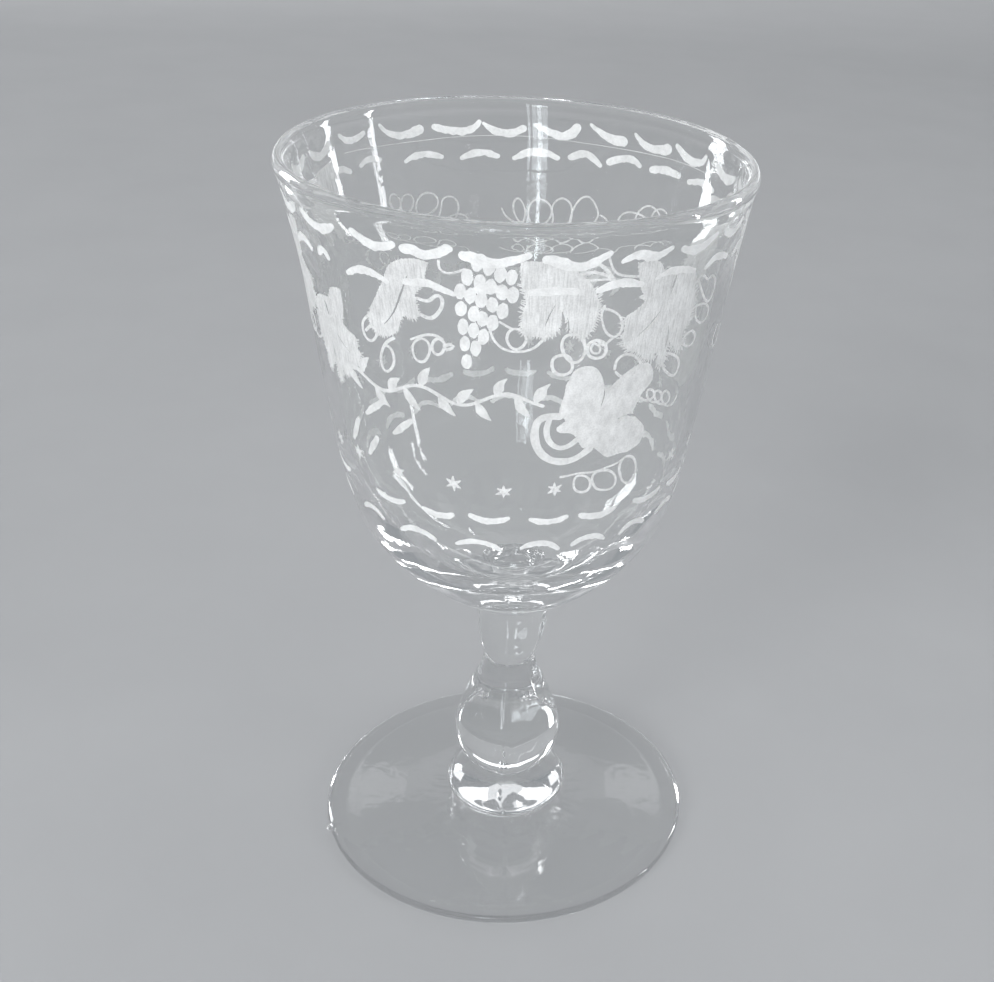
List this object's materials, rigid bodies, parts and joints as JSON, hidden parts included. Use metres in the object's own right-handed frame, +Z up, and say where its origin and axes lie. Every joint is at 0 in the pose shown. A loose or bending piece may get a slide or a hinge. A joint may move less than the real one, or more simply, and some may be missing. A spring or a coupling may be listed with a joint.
{
  "type": "stemmed drinking glass",
  "caption": "Clear glass goblet with a round-bottomed bowl, waisted stem, ball knop, collar and wide foot, engraved with a fruiting vine between dashed bands.",
  "frame": {"origin": "centre of the flat ring that the foot rests on, on the surface the glass stands on", "axes": "+Z up along the axis of the glass, from the foot towards the lip; X and Y are any two directions across, with -Y towards the front of the engraved pattern"},
  "size_m": [0.0852, 0.0852, 0.145],
  "materials": {
    "bowl_glass": "clear blown glass, fire polished, with matt wheel-cut engraving on the outside",
    "neck_glass": "clear, fire polished",
    "knop_glass": "clear, fire polished",
    "collar_glass": "clear, fire polished",
    "foot_glass": "clear, lightly worn underneath where it rests"
  },
  "bodies": {
    "root": {"bowl": "bowl_glass", "stem_neck": "neck_glass", "stem_knop": "knop_glass", "basal_collar": "collar_glass", "foot": "foot_glass"}
  },
  "joints": []
}
